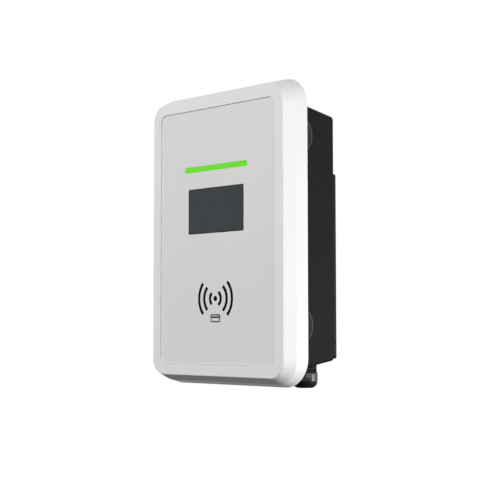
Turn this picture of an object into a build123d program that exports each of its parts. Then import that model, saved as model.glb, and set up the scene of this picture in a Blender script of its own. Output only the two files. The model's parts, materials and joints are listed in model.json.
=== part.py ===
from build123d import *
import os

os.makedirs("parts", exist_ok=True)

# Wall charging box for electric cars, in millimetres.
# +X is right, +Y points into the wall and +Z is up. The origin lies on the wall, behind the
# middle of the front cover. A name that ends in _h is a height in front of the wall: Y = -h.

# Stack in front of the wall
bracket_depth = 5.5        # wall to the back of the housing
housing_depth = 63.0       # back of the housing to the back of its front flange
flange_thickness = 3.0
flange_recess = 1.5        # the flange lies this far inside the cover's rear edge
cover_depth = 30.0         # cover's rear edge to its front face

# Front cover: a flat face, flared out to a crease and from there, less steeply, to the rear edge
face_width = 226.0
face_height = 342.0
face_corner = 20.0
crease_depth = 15.0        # front face to crease
crease_flare = 7.2         # how far the crease stands outside the face
crease_corner = 28.0
rim_flare = 11.4           # how far the rear edge stands outside the face
rim_corner = 35.0
cover_wall = 2.6
face_edge_radius = 1.2
face_base = 2.4            # what is left of the face behind the sunk panel

# Front panel, window and light bar, all let into the face
panel_border = 14.0
panel_corner = 9.0
panel_sink = 1.2           # panel surface below the face
panel_thickness = 2.0
inlay_gap = 0.2            # round each piece that is let in
window_width = 96.2
window_height = 55.6
window_corner = 1.5
window_z = 30.5
window_ledge = 1.5         # width that the window rests on
bar_length = 109.0
bar_height = 6.6
bar_rise = 7.85            # display board's top to the middle of the bar
bar_ledge = 1.2
bar_led_gap = 0.4          # between the light bar's back and the lamps

# Housing body
body_side_step = 6.64      # flange's edge to the body, each side
body_top_step = 25.64      # flange's edge to the body at the top
body_bottom_step = 16.44   # the same at the bottom
side_taper = 2.5           # drawn in at the back, each side
end_taper = 9.2            # drawn in at the back, top and bottom
body_corner = 6.0
body_wall = 4.0
back_wall = 3.5
least_corner = 0.5         # smallest corner that an inner outline keeps
flange_gap = 0.4           # between the flange and the cover's wall

# Seal between cover and housing
seal_margin = 0.4          # housing's inner edge to the gasket
gasket_width = 2.4
gasket_thickness = 1.5
rib_thickness = 1.8        # cover's rib that presses on the gasket
weld = 0.6                 # how far a rib or post runs into the wall that carries it

# Cover screws and the round dishes that clear their heads
screw_drop = 40.5          # body's top to the upper side screws, before their rise
screw_rise = 2.2           # middle of the side screws above the cover's middle
end_screw_margin = 12.6    # flange's edge to the screws above and below the body
cover_screw_radius = 1.5
cover_screw_length = 10.5
cover_head_radius = 3.1
cover_head_height = 2.2
cover_boss_radius = 3.2
cover_boss_end = 2.0       # boss beyond the end of its hole
thread_gap = 0.15          # round a screw's shank in its thread
shank_gap = 0.4            # round a screw's shank in a clearance hole
tip_gap = 1.0              # beyond a screw's tip
dish_radius = 19.8
dish_depth = 5.0
dish_offset = 3.9          # dish centre behind the flange
dish_wall = 3.4

# Wall bracket, folded from sheet
sheet = 2.0
bracket_side_step = 1.0    # housing's back edge to the bracket, each side
bracket_end_step = 2.9     # the same at the bottom
bracket_top = 73.0
bracket_corner = 3.0
slit_rise = 19.5           # bracket's bottom to the relief slit across each folded edge
slit_width = 2.0
wall_hole_radius = 3.25
wall_hole_side = 25.0      # bracket's side to a wall hole
wall_hole_top = 23.0       # bracket's top to the upper wall holes
wall_hole_bottom = 29.6    # bracket's bottom to the lower ones
hook_x = 50.0
hook_z = 45.0              # middle of a hook's arm
hook_width = 16.0
hook_lip = 7.0             # the lip's rise above the arm
hook_gap = 0.4             # between lip and back wall
hook_window = 18.0         # height of sheet that each hook was folded from
pocket_gap = 2.0           # round a hook in its pocket
pocket_wall = 2.5
lock_x = 60.0
lock_drop = 15.0           # main board's bottom edge to the lock screws
lock_radius = 2.5
lock_head_radius = 4.6
lock_head_height = 2.8
collar_radius = 5.0
washer_thickness = 1.2

# Cable glands
gland_side_gap = 2.2       # housing's inner side, at its back, to a lock nut
gland_h = 36.0
gland_radius = 12.5        # threaded shank
gland_gap = 0.3
gland_wall = 2.9           # shank's wall round its bore
gland_flat = 13.8          # middle to flat of the hexagons
gland_hex_height = 3.6
gland_hex_turn = 15.0      # degrees from a corner at the side, as tightened
gland_seal_width = 1.3     # seal beyond its hole
gland_seal_thickness = 1.2
gland_neck = 11.0          # threaded neck below the hexagon
gland_neck_step = 0.5      # neck is this much thinner than the shank
gland_reach = 3.0          # shank beyond the lock nut
seat_rise = 2.0            # seat above the lowest edge of the body
seat_width = 1.4           # seat beyond its hole, outside
pad_width = 6.2            # pad beyond its hole, inside
pad_thickness = 10.2
locknut_height = 6.0
nut_wall = 2.7
nut_height = 18.7
nut_clear = 0.4            # open band between hexagon and nut
nut_dome = 7.5
nut_lip = 2.0
nut_lip_width = 1.4        # lip's reach over the insert
nut_ribs = 24
nut_rib_radius = 0.7
nut_rib_height = 10.5
insert_wall = 2.4
insert_gap = 0.2

# Boards behind the cover
board_thickness = 1.6
board_corner = 2.0
board_hole_gap = 0.2       # round a board screw in its board
front_post_height = 4.0
post_radius = 3.4
module_side_margin = 5.75  # module beyond the window, left and right
module_end_margin = 6.35   # the same above and below
display_board_side = 12.25  # board beyond the module, left and right
display_board_end = 10.4   # the same above and below
light_board_end = 12.75    # board beyond the bar, left and right
light_board_edge = 2.7     # the same above and below
lamp_side = 3.5
lamp_height = 1.5
lamp_inset = 8.75          # bar's end to the middle of the first lamp
lamp_count = 8
reader_z = -77.0
reader_edge = 8.0          # board beyond the coil
coil_side = 50.0
coil_width = 6.0
coil_thickness = 0.5
front_board_margin = 6.0   # board's edge to its screws

# Small screws that hold the boards
board_screw_radius = 1.25
board_screw_length = 5.0
board_head_radius = 2.6
board_head_height = 1.8
board_tip_gap = 0.6

# Main board in the housing
main_board_side_gap = 12.0  # housing's inner side, at its back, to the board
main_board_top_gap = 14.3
main_board_bottom_gap = 28.5
main_board_margin = 6.0
main_post_height = 11.0
main_post_radius = 4.5

# What stands on the main board, in four rows with equal gaps between them
terminal_side_margin = 4.0  # board's edge to a terminal block
terminal_end_margin = 11.0
terminal_end_wall = 2.0    # block beyond its outer poles
terminal_depth = 26.0
terminal_height = 32.0
terminal_poles = 5
terminal_pitch = 12.4
entry_radius = 4.0
entry_height = 10.0        # board to the axis of a wire entry
well_gap = 0.4             # round a clamp screw's head in its well
well_depth = 13.0
clamp_head_radius = 3.3
clamp_head_height = 3.0
clamp_radius = 1.8
clamp_length = 5.0
relay_width = 44.0
relay_depth = 36.0
relay_height = 36.0
module_corner = 2.0        # relays, sensor and power module
sensor_width = 42.0
sensor_depth = 16.0
sensor_height = 38.0
sensor_bore = 8.0
link_side = 3.0
link_pitch = 4.6
link_count = 3
link_reach = 8.0           # link's leg beyond the sensor's face
power_width = 54.0
power_depth = 42.0
power_height = 26.0
capacitor_count = 3
capacitor_gap = 4.0        # between neighbours
capacitor_radius = 9.0
capacitor_height = 32.0
capacitor_round = 1.2
control_width = 52.0
control_depth = 38.0
control_height = 6.0
header_width = 34.0
header_depth = 7.0
header_height = 8.0
header_drop = 13.0
display_header_rise = 29.5  # window's middle to the display board's header
ribbon_width = 26.0
ribbon_thickness = 0.9
ribbon_bend = 10.0
ribbon_lead = 15.0         # straight length out of each header

# Current selector and reset button
selector_x = -22.0
selector_side = 20.0
selector_height = 9.0
selector_floor = 2.0
stem_radius = 5.0
stem_gap = 0.1
dial_radius = 8.5
dial_height = 4.0
dial_gap = 0.4             # dial above its base
dial_slot = 1.8
dial_slot_share = 0.75     # slot's length in the dial's width
button_x = 4.0
button_side = 12.0
button_height = 7.0
button_roof = 2.0
plunger_radius = 3.0
plunger_collar = 4.2
plunger_collar_height = 1.4
plunger_proud = 4.5        # plunger above its base
plunger_gap = 0.15
button_play = 0.1          # collar below its roof

# Heights in front of the wall that follow from the stack
back_h = bracket_depth
back_inner_h = back_h + back_wall
flange_h = back_h + housing_depth
flange_front_h = flange_h + flange_thickness
gasket_front_h = flange_front_h + gasket_thickness
rim_h = flange_h - flange_recess
face_h = rim_h + cover_depth
crease_h = face_h - crease_depth
panel_h = face_h - panel_sink
panel_back_h = panel_h - panel_thickness
face_inner_h = panel_back_h - face_base
front_board_h = face_inner_h - front_post_height
front_board_back_h = front_board_h - board_thickness
main_board_back_h = back_inner_h + main_post_height
main_board_h = main_board_back_h + board_thickness

# Places that follow from the sizes
panel_width = face_width - 2 * panel_border
panel_height = face_height - 2 * panel_border
module_width = window_width + 2 * module_side_margin
module_height = window_height + 2 * module_end_margin
display_board_width = module_width + 2 * display_board_side
display_board_height = module_height + 2 * display_board_end
bar_z = window_z + display_board_height / 2 + bar_rise
light_board_length = bar_length + 2 * light_board_end
light_board_height = bar_height + 2 * light_board_edge
lamp_pitch = (bar_length - 2 * lamp_inset) / (lamp_count - 1)
reader_board_side = coil_side + 2 * reader_edge
display_header_z = window_z + display_header_rise


def front(height):
    """Plane parallel to the wall at a height in front of it, facing the room."""
    return Plane.XZ.offset(height)


def cover_size(height, inset=0):
    """Width, height and corner of the cover at a height, drawn in by an inset."""
    depth = face_h - height
    if depth <= crease_depth:
        share = depth / crease_depth
        flare = crease_flare * share
        corner = face_corner + (crease_corner - face_corner) * share
    else:
        share = (depth - crease_depth) / (cover_depth - crease_depth)
        flare = crease_flare + (rim_flare - crease_flare) * share
        corner = crease_corner + (rim_corner - crease_corner) * share
    grow = 2 * (flare - inset)
    return face_width + grow, face_height + grow, max(corner - inset, least_corner)


flange_width, flange_height, flange_corner = cover_size(flange_front_h, cover_wall + flange_gap)
body_width = flange_width - 2 * body_side_step
body_top = flange_height / 2 - body_top_step
body_bottom = flange_height / 2 - body_bottom_step
seal_inset = body_wall - seal_margin - gasket_width / 2
bracket_width = body_width - 2 * (side_taper + bracket_side_step)
bracket_bottom = body_bottom - end_taper - bracket_end_step
slit_z = slit_rise - bracket_bottom
screw_z = body_top - screw_drop
gland_x = body_width / 2 - side_taper - body_wall - gland_side_gap - gland_flat
gland_hole = gland_radius + gland_gap
gland_bore = gland_radius - gland_wall
gland_neck_radius = gland_radius - gland_neck_step
main_board_width = body_width - 2 * (side_taper + body_wall + main_board_side_gap)
main_board_top = body_top - end_taper - body_wall - main_board_top_gap
main_board_bottom = body_bottom - end_taper - body_wall - main_board_bottom_gap
main_board_height = main_board_top + main_board_bottom
main_board_z = (main_board_top - main_board_bottom) / 2
lock_z = -main_board_bottom - lock_drop
terminal_width = terminal_poles * terminal_pitch + 2 * terminal_end_wall
terminal_x = (main_board_width - terminal_width) / 2 - terminal_side_margin
row_gap = (main_board_height - terminal_end_margin - terminal_depth - relay_depth - control_depth
           - power_depth) / 4
terminal_z = terminal_end_margin + terminal_depth / 2 - main_board_bottom
relay_z = terminal_z + (terminal_depth + relay_depth) / 2 + row_gap
control_z = relay_z + (relay_depth + control_depth) / 2 + row_gap
power_z = control_z + (control_depth + power_depth) / 2 + row_gap
relay_x = (main_board_width + sensor_width) / 4
quarter_x = main_board_width / 4
header_z = main_board_top - header_drop


def cover_loft(heights, inset=0, mode=Mode.ADD):
    """Block between the cover's outlines at these heights."""
    outlines = []
    for height in heights:
        with BuildSketch(front(height)) as outline:
            RectangleRounded(*cover_size(height, inset))
        outlines.append(outline.sketch)
    loft(outlines, ruled=True, mode=mode)


def body_outline(height, inset=0):
    """Sketch of the housing body's outline at a height, drawn in by an inset."""
    share = (flange_h - height) / housing_depth
    width = body_width - 2 * (side_taper * share + inset)
    top = body_top - end_taper * share - inset
    bottom = body_bottom - end_taper * share - inset
    with BuildSketch(front(height)) as outline:
        with Locations((0, (top - bottom) / 2)):
            RectangleRounded(width, top + bottom, max(body_corner - inset, least_corner))
    return outline.sketch


def seal_ring(height, width, length):
    """Ring over the middle of the seal, standing up from a height."""
    lift = Location((0, flange_h - height, 0))
    extrude(body_outline(flange_h, seal_inset - width / 2).moved(lift), amount=length)
    extrude(body_outline(flange_h, seal_inset + width / 2).moved(lift), amount=length,
            mode=Mode.SUBTRACT)


def rods(plane, points, radius, length, mode=Mode.ADD):
    """Round rods or holes at points of a plane."""
    with BuildSketch(plane) as ends:
        with Locations(*points):
            Circle(radius)
    extrude(ends.sketch, amount=length, mode=mode)


def blocks(plane, points, width, depth, length, mode=Mode.ADD, corner=0):
    """Square-cut or rounded blocks at points of a plane."""
    with BuildSketch(plane) as ends:
        with Locations(*points):
            if corner:
                RectangleRounded(width, depth, corner)
            else:
                Rectangle(width, depth)
    extrude(ends.sketch, amount=length, mode=mode)


def screws(height, points, head, shank, towards_room=False):
    """Pan-head screws seated at a height. head and shank are (radius, length)."""
    turn = -1 if towards_room else 1
    rods(front(height), points, head[0], turn * head[1])
    rods(front(height), points, shank[0], -turn * shank[1])
    with BuildSketch(front(height + turn * head[1])) as sockets:
        with Locations(*points):
            RegularPolygon(head[0] / 2, 6)
    extrude(sockets.sketch, amount=-turn * head[1] / 2, mode=Mode.SUBTRACT)


def corners(width, height, margin, centre=(0, 0)):
    """The four points a margin inside the corners of a rectangle."""
    x = width / 2 - margin
    z = height / 2 - margin
    return [(centre[0] + i * x, centre[1] + j * z) for i in (-1, 1) for j in (-1, 1)]


# Points shared by the pieces
gasket_side = body_width / 2 - seal_inset + gasket_width / 2
screw_x = (gasket_side + flange_width / 2) / 2
side_screws = [(i * screw_x, screw_rise + j * screw_z) for i in (-1, 1) for j in (-1, 1)]
end_screws = [(0, j * (flange_height / 2 - end_screw_margin)) for j in (-1, 1)]
cover_screw_points = side_screws + end_screws
display_screws = corners(display_board_width, display_board_height, front_board_margin, (0, window_z))
light_screws = [(i * (light_board_length / 2 - front_board_margin), bar_z) for i in (-1, 1)]
reader_screws = corners(reader_board_side, reader_board_side, front_board_margin, (0, reader_z))
front_board_screws = display_screws + light_screws + reader_screws
main_screws = corners(main_board_width, main_board_height, main_board_margin, (0, main_board_z))
main_screws += [(i * (main_board_width / 2 - main_board_margin), main_board_z) for i in (-1, 1)]
lock_points = [(i * lock_x, lock_z) for i in (-1, 1)]
hook_points = [(i * hook_x, hook_z) for i in (-1, 1)]
gland_points = [(i * gland_x, -gland_h) for i in (-1, 1)]
pad_z = seat_rise - body_bottom
inner_pad_z = pad_z + pad_thickness
screw_depth = cover_screw_length - flange_thickness + tip_gap

# The cover's sealing rib, which becomes part of its shell
with BuildPart() as sealing_rib:
    seal_ring(gasket_front_h, rib_thickness, face_inner_h - gasket_front_h + weld)

# Front cover: one moulded shell with its sealing rib, screw bosses and board posts
with BuildPart() as front_cover:
    cover_loft((rim_h, crease_h, face_h))
    fillet(front_cover.faces().sort_by(Axis.Y)[0].edges(), face_edge_radius)
    cover_loft((rim_h, crease_h, face_inner_h), cover_wall, Mode.SUBTRACT)
    with BuildSketch(front(face_h)):
        RectangleRounded(
            panel_width + 2 * inlay_gap, panel_height + 2 * inlay_gap, panel_corner + inlay_gap
        )
    extrude(amount=-(panel_sink + panel_thickness), mode=Mode.SUBTRACT)
    with BuildSketch(front(panel_back_h)):
        with Locations((0, window_z)):
            Rectangle(window_width - 2 * window_ledge, window_height - 2 * window_ledge)
        with Locations((0, bar_z)):
            SlotOverall(bar_length - 2 * bar_ledge, bar_height - 2 * bar_ledge)
    extrude(amount=-face_base, mode=Mode.SUBTRACT)
    add(sealing_rib.part)
    rods(front(flange_front_h), side_screws, cover_boss_radius, screw_depth + cover_boss_end)
    rods(front(flange_front_h), end_screws, cover_boss_radius, face_inner_h - flange_front_h + weld)
    rods(front(flange_front_h), cover_screw_points, cover_screw_radius + thread_gap, screw_depth,
         Mode.SUBTRACT)
    rods(front(front_board_h), front_board_screws, post_radius, front_post_height + weld)
    rods(front(front_board_h), front_board_screws, board_screw_radius + thread_gap,
         board_screw_length - board_thickness + board_tip_gap, Mode.SUBTRACT)
front_cover.part.label = "front_cover"
export_step(front_cover.part, "parts/front_cover.step")

# Front panel: the sunk inlay, with openings for the window and the light bar
with BuildPart() as front_panel:
    with BuildSketch(front(panel_back_h)):
        RectangleRounded(panel_width, panel_height, panel_corner)
        with Locations((0, window_z)):
            RectangleRounded(window_width + 2 * inlay_gap, window_height + 2 * inlay_gap,
                             window_corner + inlay_gap, mode=Mode.SUBTRACT)
        with Locations((0, bar_z)):
            SlotOverall(bar_length + 2 * inlay_gap, bar_height + 2 * inlay_gap, mode=Mode.SUBTRACT)
    extrude(amount=panel_thickness)
front_panel.part.label = "front_panel"
export_step(front_panel.part, "parts/front_panel.step")

# Display window
with BuildPart() as display_window:
    blocks(front(panel_back_h), [(0, window_z)], window_width, window_height, panel_thickness,
           corner=window_corner)
display_window.part.label = "display_window"
export_step(display_window.part, "parts/display_window.step")

# Light bar: a light guide whose wide head fills the panel's slot
with BuildPart() as light_bar:
    with BuildSketch(front(panel_back_h)):
        with Locations((0, bar_z)):
            SlotOverall(bar_length, bar_height)
    extrude(amount=panel_thickness)
    with BuildSketch(front(panel_back_h)):
        with Locations((0, bar_z)):
            SlotOverall(bar_length - 2 * (bar_ledge + inlay_gap), bar_height - 2 * (bar_ledge + inlay_gap))
    extrude(amount=-(panel_back_h - front_board_h - lamp_height - bar_led_gap))
light_bar.part.label = "light_bar"
export_step(light_bar.part, "parts/light_bar.step")

# Gasket between the housing's flange and the cover's rib
with BuildPart() as cover_gasket:
    seal_ring(flange_front_h, gasket_width, gasket_thickness)
cover_gasket.part.label = "cover_gasket"
export_step(cover_gasket.part, "parts/cover_gasket.step")

# Dish: part of a ball, cut off flat at the back of the flange
ball_radius = (dish_radius**2 + dish_depth**2) / (2 * dish_depth)
dish_h = flange_h - dish_offset
dish_x = body_width / 2 - dish_depth + ball_radius
with BuildPart() as dish:
    with Locations((0, -dish_h, 0)):
        Sphere(ball_radius, rotation=(0, 0, 90))
    split(bisect_by=front(flange_h), keep=Keep.BOTTOM)

# Hollow of the housing, which leaves a level pad round each gland
with BuildPart() as hollow:
    loft([body_outline(back_inner_h, body_wall), body_outline(flange_front_h, body_wall)],
         ruled=True)
    rods(Plane.XY.offset(-body_bottom), gland_points, gland_hole + pad_width,
         inner_pad_z + body_bottom, Mode.SUBTRACT)

# Rear housing: one moulded box with its front flange, posts, hook pockets and gland seats
hook_arm_top = hook_z + sheet / 2
pocket_width = hook_width + 2 * pocket_gap
pocket_depth = hook_gap + sheet + pocket_gap
pocket_bottom = hook_z - sheet / 2 - pocket_gap
pocket_top = hook_arm_top + hook_lip + pocket_gap
pocket_z = (pocket_top + pocket_bottom) / 2
slot_z = (hook_arm_top + pocket_bottom) / 2
with BuildPart() as rear_housing:
    loft([body_outline(back_h), body_outline(flange_h)], ruled=True)
    with BuildSketch(front(flange_h)):
        RectangleRounded(flange_width, flange_height, flange_corner)
    extrude(amount=flange_thickness)
    add(hollow.part, mode=Mode.SUBTRACT)
    for side in (-1, 1):
        with BuildSketch(Plane.YZ.offset(side * (body_width - body_wall) / 2)):
            with Locations((-dish_h, screw_rise + screw_z), (-dish_h, screw_rise - screw_z)):
                Circle(dish_radius + dish_wall)
            with Locations((-flange_front_h, 0)):
                Rectangle(2 * housing_depth, 2 * body_bottom, align=(Align.MIN, Align.CENTER),
                          mode=Mode.INTERSECT)
        extrude(amount=-side * (dish_depth + dish_wall - body_wall / 2))
    for side in (-1, 1):
        with Locations((side * dish_x, 0, screw_rise + screw_z),
                       (side * dish_x, 0, screw_rise - screw_z)):
            add(dish.part, mode=Mode.SUBTRACT)
    rods(front(flange_h), cover_screw_points, cover_screw_radius + shank_gap, flange_thickness,
         Mode.SUBTRACT)
    rods(front(back_inner_h), main_screws, main_post_radius, main_post_height)
    rods(front(main_board_back_h), main_screws, board_screw_radius + thread_gap,
         -(board_screw_length - board_thickness + tip_gap), Mode.SUBTRACT)
    blocks(front(back_inner_h), [(x, pocket_z) for x, z in hook_points],
           pocket_width + 2 * pocket_wall, pocket_top - pocket_bottom + 2 * pocket_wall,
           pocket_depth + pocket_wall)
    blocks(front(back_inner_h), [(x, pocket_z) for x, z in hook_points], pocket_width,
           pocket_top - pocket_bottom, pocket_depth, Mode.SUBTRACT)
    blocks(front(back_h), [(x, slot_z) for x, z in hook_points], pocket_width,
           hook_arm_top - pocket_bottom, back_wall, Mode.SUBTRACT)
    rods(front(back_h), lock_points, lock_radius + shank_gap, back_wall, Mode.SUBTRACT)
    rods(Plane.XY.offset(pad_z), gland_points, gland_hole + seat_width, pad_thickness)
    rods(Plane.XY.offset(pad_z), gland_points, gland_hole, pad_thickness, Mode.SUBTRACT)
rear_housing.part.label = "rear_housing"
export_step(rear_housing.part, "parts/rear_housing.step")

# Cover screws, driven from behind the flange
with BuildPart() as cover_screws:
    screws(flange_h, cover_screw_points, (cover_head_radius, cover_head_height),
           (cover_screw_radius, cover_screw_length), towards_room=True)
cover_screws.part.label = "cover_screws"
export_step(cover_screws.part, "parts/cover_screws.step")

# Wall bracket: a plate with folded edges, two hooks and two threaded collars
bracket_height = bracket_top + bracket_bottom
bracket_z = (bracket_top - bracket_bottom) / 2
arm_length = bracket_depth + back_wall + hook_gap + sheet
wall_holes = [(i * (bracket_width / 2 - wall_hole_side), z) for i in (-1, 1)
              for z in (wall_hole_bottom - bracket_bottom, bracket_top - wall_hole_top)]
with BuildPart() as wall_bracket:
    blocks(front(0), [(0, bracket_z)], bracket_width, bracket_height, sheet, corner=bracket_corner)
    blocks(front(0), [(i * (bracket_width - sheet) / 2, bracket_z) for i in (-1, 1)], sheet,
           bracket_height - 2 * bracket_corner, bracket_depth)
    blocks(front(sheet), [(i * (bracket_width - sheet) / 2, slit_z) for i in (-1, 1)], sheet,
           slit_width, bracket_depth - sheet, Mode.SUBTRACT)
    blocks(front(0), [(x, hook_z - sheet / 2 - hook_window / 2) for x, z in hook_points],
           hook_width, hook_window, sheet, Mode.SUBTRACT)
    blocks(front(0), hook_points, hook_width, sheet, arm_length)
    blocks(front(arm_length - sheet), [(x, hook_arm_top + hook_lip / 2) for x, z in hook_points],
           hook_width, hook_lip, sheet)
    rods(front(sheet), lock_points, collar_radius, bracket_depth - sheet)
    rods(front(0), lock_points, lock_radius + thread_gap, bracket_depth, Mode.SUBTRACT)
    rods(front(0), wall_holes, wall_hole_radius, sheet, Mode.SUBTRACT)
wall_bracket.part.label = "wall_bracket"
export_step(wall_bracket.part, "parts/wall_bracket.step")

# Lock screws and their sealing washers, which hold the housing on the bracket
lock_length = back_wall + washer_thickness + bracket_depth - tip_gap
with BuildPart() as lock_washers:
    rods(front(back_inner_h), lock_points, lock_head_radius, washer_thickness)
    rods(front(back_inner_h), lock_points, lock_radius + shank_gap, washer_thickness, Mode.SUBTRACT)
lock_washers.part.label = "lock_washers"
export_step(lock_washers.part, "parts/lock_washers.step")

with BuildPart() as lock_screws:
    screws(back_inner_h + washer_thickness, lock_points, (lock_head_radius, lock_head_height),
           (lock_radius, lock_length))
lock_screws.part.label = "lock_screws"
export_step(lock_screws.part, "parts/lock_screws.step")

# Cable glands: the supply cable's at the left and the charging cable's at the right.
# Heights here are Z values, counted down from the seat below the housing.
seal_z = pad_z - gland_seal_thickness
hex_z = seal_z - gland_hex_height
neck_z = hex_z - gland_neck
nut_top_z = hex_z - nut_clear
nut_z = nut_top_z - nut_height
insert_z = nut_z + nut_lip
nut_inner_radius = gland_neck_radius + gland_gap
insert_radius = gland_bore - insert_gap
for name, axis in zip(("supply", "output"), gland_points):

    with BuildPart() as gland_seal:
        rods(Plane.XY.offset(seal_z), [axis], gland_hole + gland_seal_width, gland_seal_thickness)
        rods(Plane.XY.offset(seal_z), [axis], gland_hole, gland_seal_thickness, Mode.SUBTRACT)
    gland_seal.part.label = f"{name}_gland_seal"
    export_step(gland_seal.part, f"parts/{name}_gland_seal.step")

    with BuildPart() as gland_body:
        with BuildSketch(Plane.XY.offset(hex_z)):
            with Locations(axis):
                RegularPolygon(gland_flat, 6, major_radius=False, rotation=gland_hex_turn)
        extrude(amount=gland_hex_height)
        rods(Plane.XY.offset(seal_z), [axis], gland_radius,
             inner_pad_z + locknut_height + gland_reach - seal_z)
        rods(Plane.XY.offset(neck_z), [axis], gland_neck_radius, gland_neck)
        rods(Plane.XY.offset(neck_z), [axis], gland_bore,
             inner_pad_z + locknut_height + gland_reach - neck_z, Mode.SUBTRACT)
    gland_body.part.label = f"{name}_gland_body"
    export_step(gland_body.part, f"parts/{name}_gland_body.step")

    with BuildPart() as gland_insert:
        rods(Plane.XY.offset(insert_z), [axis], insert_radius, hex_z - insert_z)
        rods(Plane.XY.offset(insert_z), [axis], insert_radius - insert_wall, hex_z - insert_z,
             Mode.SUBTRACT)
    gland_insert.part.label = f"{name}_gland_insert"
    export_step(gland_insert.part, f"parts/{name}_gland_insert.step")

    with BuildPart() as gland_nut:
        rods(Plane.XY.offset(nut_z), [axis], nut_inner_radius + nut_wall, nut_height)
        fillet(gland_nut.edges().sort_by(Axis.Z)[0], nut_dome)
        with BuildSketch(Plane.XY.offset(nut_top_z)):
            with Locations(axis):
                with PolarLocations(nut_inner_radius + nut_wall, nut_ribs):
                    Circle(nut_rib_radius)
        extrude(amount=-nut_rib_height)
        rods(Plane.XY.offset(neck_z - nut_clear), [axis], nut_inner_radius,
             nut_top_z - neck_z + nut_clear, Mode.SUBTRACT)
        rods(Plane.XY.offset(insert_z), [axis], gland_bore, nut_top_z - insert_z, Mode.SUBTRACT)
        rods(Plane.XY.offset(nut_z), [axis], gland_bore - nut_lip_width, nut_height,
             Mode.SUBTRACT)
    gland_nut.part.label = f"{name}_gland_nut"
    export_step(gland_nut.part, f"parts/{name}_gland_nut.step")

    with BuildPart() as gland_locknut:
        with BuildSketch(Plane.XY.offset(inner_pad_z)):
            with Locations(axis):
                RegularPolygon(gland_flat, 6, major_radius=False, rotation=30)
                Circle(gland_hole, mode=Mode.SUBTRACT)
        extrude(amount=locknut_height)
    gland_locknut.part.label = f"{name}_gland_locknut"
    export_step(gland_locknut.part, f"parts/{name}_gland_locknut.step")

# Display module, its board and the header for the ribbon cable
with BuildPart() as display_module:
    blocks(front(front_board_h), [(0, window_z)], module_width, module_height, front_post_height)
display_module.part.label = "display_module"
export_step(display_module.part, "parts/display_module.step")

with BuildPart() as display_board:
    blocks(front(front_board_h), [(0, window_z)], display_board_width, display_board_height,
           -board_thickness, corner=board_corner)
    rods(front(front_board_h), display_screws, board_screw_radius + board_hole_gap,
         -board_thickness, Mode.SUBTRACT)
display_board.part.label = "display_board"
export_step(display_board.part, "parts/display_board.step")

with BuildPart() as display_header:
    blocks(front(front_board_back_h), [(0, display_header_z)], header_width, header_depth,
           -header_height)
display_header.part.label = "display_header"
export_step(display_header.part, "parts/display_header.step")

# Light board with its row of lamps behind the light bar
with BuildPart() as light_board:
    blocks(front(front_board_h), [(0, bar_z)], light_board_length, light_board_height,
           -board_thickness, corner=board_corner)
    rods(front(front_board_h), light_screws, board_screw_radius + board_hole_gap,
         -board_thickness, Mode.SUBTRACT)
light_board.part.label = "light_board"
export_step(light_board.part, "parts/light_board.step")

with BuildPart() as status_lamps:
    with BuildSketch(front(front_board_h)):
        with Locations((0, bar_z)):
            with GridLocations(lamp_pitch, 0, lamp_count, 1):
                Rectangle(lamp_side, lamp_side)
    extrude(amount=lamp_height)
status_lamps.part.label = "status_lamps"
export_step(status_lamps.part, "parts/status_lamps.step")

# Reader board and its antenna coil behind the printed reader mark
with BuildPart() as reader_board:
    blocks(front(front_board_h), [(0, reader_z)], reader_board_side, reader_board_side,
           -board_thickness, corner=board_corner)
    rods(front(front_board_h), reader_screws, board_screw_radius + board_hole_gap,
         -board_thickness, Mode.SUBTRACT)
reader_board.part.label = "reader_board"
export_step(reader_board.part, "parts/reader_board.step")

with BuildPart() as reader_coil:
    blocks(front(front_board_h), [(0, reader_z)], coil_side, coil_side, coil_thickness,
           corner=coil_width)
    blocks(front(front_board_h), [(0, reader_z)], coil_side - 2 * coil_width,
           coil_side - 2 * coil_width, coil_thickness, Mode.SUBTRACT)
reader_coil.part.label = "reader_coil"
export_step(reader_coil.part, "parts/reader_coil.step")

with BuildPart() as front_board_screw_set:
    screws(front_board_back_h, front_board_screws, (board_head_radius, board_head_height),
           (board_screw_radius, board_screw_length), towards_room=True)
front_board_screw_set.part.label = "front_board_screws"
export_step(front_board_screw_set.part, "parts/front_board_screws.step")

# Main board
with BuildPart() as main_board:
    blocks(front(main_board_back_h), [(0, main_board_z)], main_board_width, main_board_height,
           board_thickness, corner=board_corner)
    rods(front(main_board_back_h), main_screws, board_screw_radius + board_hole_gap,
         board_thickness, Mode.SUBTRACT)
main_board.part.label = "main_board"
export_step(main_board.part, "parts/main_board.step")

with BuildPart() as main_board_screw_set:
    screws(main_board_h, main_screws, (board_head_radius, board_head_height),
           (board_screw_radius, board_screw_length))
main_board_screw_set.part.label = "main_board_screws"
export_step(main_board_screw_set.part, "parts/main_board_screws.step")

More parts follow.
